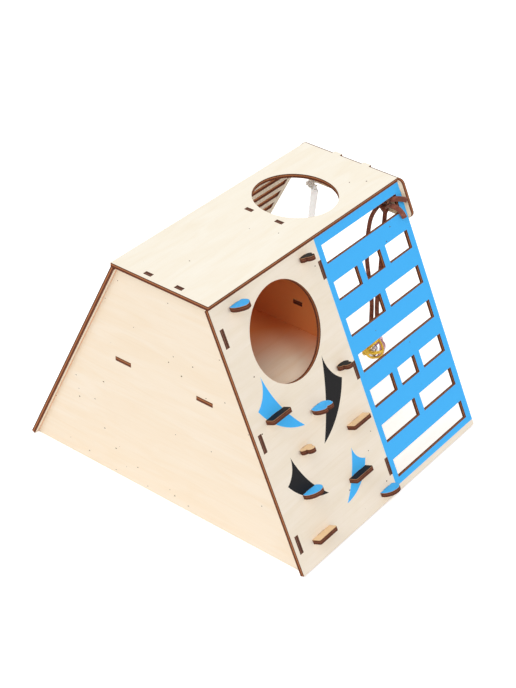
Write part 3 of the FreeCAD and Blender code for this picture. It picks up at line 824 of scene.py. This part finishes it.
def makeBall():
    gold = ballHalf("ball_gold", -1, plasticMaterial("platedGoldPlastic", ball["gold"], 0.4, 0.0))
    pink = ballHalf("ball_pink", 1, plasticMaterial("pinkPolypropylene", ball["pink"], 0.0, 0.15))
    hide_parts("ball_half_gold")
    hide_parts("ball_half_pink")
    return gold, pink


bell = {
    "centre": (95.5, -27.502, 27.349),  # mm
    "radius": 4.5,
    "wall": 0.6,
    "slit": 1.0,
    "slitTop": -1.1,  # below the bell's middle
    "peaRadius": 1.4,
    "peaGap": 0.02,
    "steel": "#C9C8CC",
}


def steelMaterial():  # plated sheet steel, pressed: bright, with soft streaks of wear
    material, tree = newMaterial("platedSteel")
    wear = noise(tree, addNode(tree, "TexCoord").outputs["Object"], 1 / (1.5 * mm), detail=3.0)
    shader = addNode(tree, "BsdfPrincipled", {
        "Base Color": linearColour(bell["steel"]),
        "Metallic": 1.0,
        "Roughness": stretch(tree, wear, 0.3, 0.7, 0.18, 0.36),
        "Normal": bumped(tree, wear, 0.2, 0.05),
    })
    showShader(tree, shader)
    return material


def makeBell(material):
    shape = bmesh.new()
    middle = inMetres(bell["centre"])
    bmesh.ops.create_uvsphere(shape, u_segments=40, v_segments=24, radius=bell["radius"] * mm,
                              matrix=Matrix.Translation(middle))
    half = bell["slit"] * mm / 2
    slitTop = bell["slitTop"] * mm
    cuts = ((Vector((0, half, 0)), (0, 1, 0)), (Vector((0, -half, 0)), (0, 1, 0)),
            (Vector((0, 0, slitTop)), (0, 0, 1)))
    for place, normal in cuts:
        everything = shape.verts[:] + shape.edges[:] + shape.faces[:]
        bmesh.ops.bisect_plane(shape, geom=everything, plane_co=middle + place, plane_no=normal,
                               dist=0.0001 * mm)
    inSlit = []
    for face in shape.faces:
        place = face.calc_center_median() - middle
        if abs(place.y) < half and place.z < slitTop:
            inSlit.append(face)
    bmesh.ops.delete(shape, geom=inSlit, context="FACES")
    piece = finishPiece("jingle_bell_shell", shape, material)
    wall = piece.modifiers.new("wall", "SOLIDIFY")
    wall.thickness = bell["wall"] * mm
    wall.offset = -1
    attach(piece, "toy_ball")
    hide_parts("jingle_bell")
    return piece


def makePea(material):
    shape = bmesh.new()
    x, y, z = bell["centre"]
    lower = bell["radius"] - bell["wall"] - bell["peaRadius"] - bell["peaGap"]
    middle = Matrix.Translation(inMetres((x, y, z - lower)))
    bmesh.ops.create_icosphere(shape, subdivisions=3, radius=bell["peaRadius"] * mm, matrix=middle)
    piece = finishPiece("bell_pea_ball", shape, material)
    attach(piece, "toy_ball")
    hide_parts("bell_pea")
    return piece


goldHalf, pinkHalf = makeBall()
platedSteel = steelMaterial()
bellShell = makeBell(platedSteel)
bellPea = makePea(platedSteel)
print("ball and bell made")


# The ribbon: white satin, tied through the other hanging hole

satin = {
    "width": 6.0,  # mm
    "thick": 0.6,
    "folded": 0.7,  # mm, thickness where it is tied
    "waver": 0.12,
    "route": [(95.5, 28.9, 139.2), (94.0, 30.2, 114.31), (96.0, 31.41, 91.34), (97.0, 32.61, 68.37),
              (97.0, 33.85, 44.4)],
    "hinge": (95.5, 28.998, 138.029),
    "knotAt": (95.4, 31.9, 141.0),
    "knotReach": (1.1, 3.2, 1.7),
    "knotWidth": 2.6,
    "loopWidth": 3.4,
    "turnSide": 32.0,
    "endKnotAt": (97.0, 33.94, 42.91),
    "endKnotReach": (0.9, 2.2, 1.5),
    "endKnotWidth": 2.4,
    "endWrap": [(97.0, 33.8, 45.2), (98.7, 33.9, 44.0), (98.6, 33.95, 42.0), (97.0, 34.0, 41.2)],
    "endWrapWidth": 3.2,
    "white": "#FFFFFF",
    "shade": "#FAF4F9",
    "thread": 0.35,  # mm, drawn coarser than the real weave so that it shows
    "ribFit": 6.28,  # brings the texture's bands to that size
    "letsThrough": 0.72,
}

# The top knot's strips and their widths: the wrap and the top of the ribbon, folded, then the two loop ends
satinWraps = (
    ([(95.6, 30.6, 138.6), (93.6, 31.6, 139.4), (93.3, 32.0, 142.4), (95.8, 32.4, 143.6)], 3.6),
    ([(95.5, 31.6, 141.4), (95.4, 29.6, 140.6), (95.5, 28.9, 138.4)], 4.6),
)
satinLoopEnds = (
    [(98.2, 32.0, 142.6), (96.8, 32.0, 142.4)],
    [(96.2, 32.0, 141.6), (97.3, 32.0, 145.0), (97.6, 32.0, 148.6), (98.4, 32.0, 150.3)],
)


def satinMaterial():  # polyester satin: fine ribs across the ribbon, a soft sheen, and light comes through
    material, tree = newMaterial("whiteSatin")
    place = addNode(tree, "TexCoord").outputs["Object"]
    ribScale = 1 / (satin["thread"] * mm) / satin["ribFit"]
    ribs = addNode(tree, "TexWave", {"Vector": place, "Scale": ribScale, "Distortion": 0.4},
                   bands_direction="Z")
    fold = noise(tree, place, 1 / (9 * mm))
    tone = stretch(tree, fold, 0.35, 0.65, 0.0, 0.8)
    shader = addNode(tree, "BsdfPrincipled", {
        "Base Color": mixColours(tree, tone, linearColour(satin["white"]), linearColour(satin["shade"])),
        "Roughness": 0.38,
        "Normal": bumped(tree, ribs.outputs[1], 0.12, 0.05),
        "Sheen Weight": 0.3,
        "Subsurface Weight": 0.15,
        "Subsurface Scale": 0.5 * mm,
    })
    through = addNode(tree, "BsdfTranslucent", {"Color": linearColour("#FFFFFF")})
    thin = addNode(tree, "MixShader", {0: satin["letsThrough"], 1: shader.outputs[0], 2: through.outputs[0]})
    showShader(tree, thin)
    return material


def makeRibbon(material):
    points = splinePoints(satin["route"])
    shape = bmesh.new()
    sweepStrip(shape, points, (0, 1, 0), satin["width"], satin["thick"], waver=satin["waver"])
    strip = finishPiece("satin_ribbon", shape, material)
    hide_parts("ribbon")
    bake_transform(strip)
    return strip, points


def makeRibbonKnot(material):
    shape = bmesh.new()
    loop = knotPoints(satin["knotAt"], satin["knotReach"], turns=0.5)
    sweepStrip(shape, loop, (1, 0, 0), satin["knotWidth"], satin["folded"], closed=True)
    for route, width in satinWraps:
        sweepStrip(shape, splinePoints(route), (0, 1, 0), width, satin["folded"])
    turnEnd, loopEnd = satinLoopEnds
    for route in (plateTurn(satin["turnSide"], satin["thick"])[:9] + turnEnd, loopEnd):
        sweepStrip(shape, splinePoints(route), (0, 1, 0), satin["loopWidth"], satin["thick"])
    knot = finishPiece("satin_knot", shape, material)
    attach(knot, "house")
    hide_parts("ribbon_knot")
    return knot


def makeRibbonEnd(material):
    shape = bmesh.new()
    loop = knotPoints(satin["endKnotAt"], satin["endKnotReach"])
    sweepStrip(shape, loop, (1, 0, 0), satin["endKnotWidth"], satin["folded"], closed=True)
    sweepStrip(shape, splinePoints(satin["endWrap"]), (0, 1, 0), satin["endWrapWidth"], satin["folded"])
    end = finishPiece("satin_end_knot", shape, material)
    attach(end, "hanging_ribbon")
    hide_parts("ribbon_end_knot")
    return end


whiteSatin = satinMaterial()
ribbonStrip, ribbonPath = makeRibbon(whiteSatin)
ribbonKnot = makeRibbonKnot(whiteSatin)
ribbonEnd = makeRibbonEnd(whiteSatin)

print("ribbon made, length", round(lineLength(ribbonPath), 4))


# Floor, backdrop and light

studio = {
    "floorSide": 6.0,  # m
    "floorBelow": 0.2,  # mm
    "floorColour": "#F2F0EC",
    "floorLift": 0.56,  # brings the lit floor to white in the picture
    "skyLight": 0.63,
    "keyFrom": (-0.62, 0.05, 0.80),
    "keyStrength": 1.2,
    "keySoftness": 50,  # degrees
    "fillFrom": (-0.05, -0.80, 0.50),
    "fillStrength": 0.5,
    "fillSoftness": 24,
}


def seenDirectly(tree):  # 1 for the camera, mirrors and clear plastic
    path = addNode(tree, "LightPath")
    seen = calculate(tree, "MAXIMUM", path.outputs["Is Camera Ray"], path.outputs["Is Glossy Ray"])
    return calculate(tree, "MAXIMUM", seen, path.outputs["Is Transmission Ray"])


def floorMaterial():
    material, tree = newMaterial("paleFloor")
    mottle = noise(tree, addNode(tree, "TexCoord").outputs["Object"], 30.0)
    matt = addNode(tree, "BsdfPrincipled", {
        "Base Color": linearColour(studio["floorColour"]),
        "Roughness": stretch(tree, mottle, 0.0, 1.0, 0.85, 0.95),
        "Specular IOR Level": 0.0,
    })
    lift = calculate(tree, "MULTIPLY", seenDirectly(tree), studio["floorLift"])
    glow = addNode(tree, "Emission", {"Color": (1, 1, 1, 1), "Strength": lift})
    showShader(tree, addNode(tree, "AddShader", {0: matt.outputs[0], 1: glow.outputs[0]}))
    return material


def makeFloor():
    shape = bmesh.new()
    place = Matrix.Translation((0, 0, -studio["floorBelow"] * mm))
    bmesh.ops.create_grid(shape, x_segments=1, y_segments=1, size=studio["floorSide"] / 2, matrix=place)
    floor = finishPiece("floor", shape, floorMaterial(), smooth=False)
    if floor.data.polygons[0].normal.z < 0:
        floor.data.flip_normals()


def makeLight():
    world = bpy.data.worlds.new("studio")
    bpy.context.scene.world = world
    world.use_nodes = True
    tree = world.node_tree
    tree.nodes.clear()
    strength = mixValues(tree, seenDirectly(tree), studio["skyLight"], 1.0)
    sky = addNode(tree, "Background", {"Color": (1, 1, 1, 1), "Strength": strength})
    addNode(tree, "OutputWorld", {"Surface": sky.outputs[0]})
    for name in ("key", "fill"):
        data = bpy.data.lights.new(name, "SUN")
        data.energy = studio[name + "Strength"]
        data.angle = math.radians(studio[name + "Softness"])
        lamp = bpy.data.objects.new(name, data)
        lamp.rotation_euler = Vector(studio[name + "From"]).to_track_quat("Z", "Y").to_euler()
        bpy.context.scene.collection.objects.link(lamp)


makeFloor()
makeLight()
bpy.context.scene.view_settings.view_transform = "Standard"
print("floor and light made")
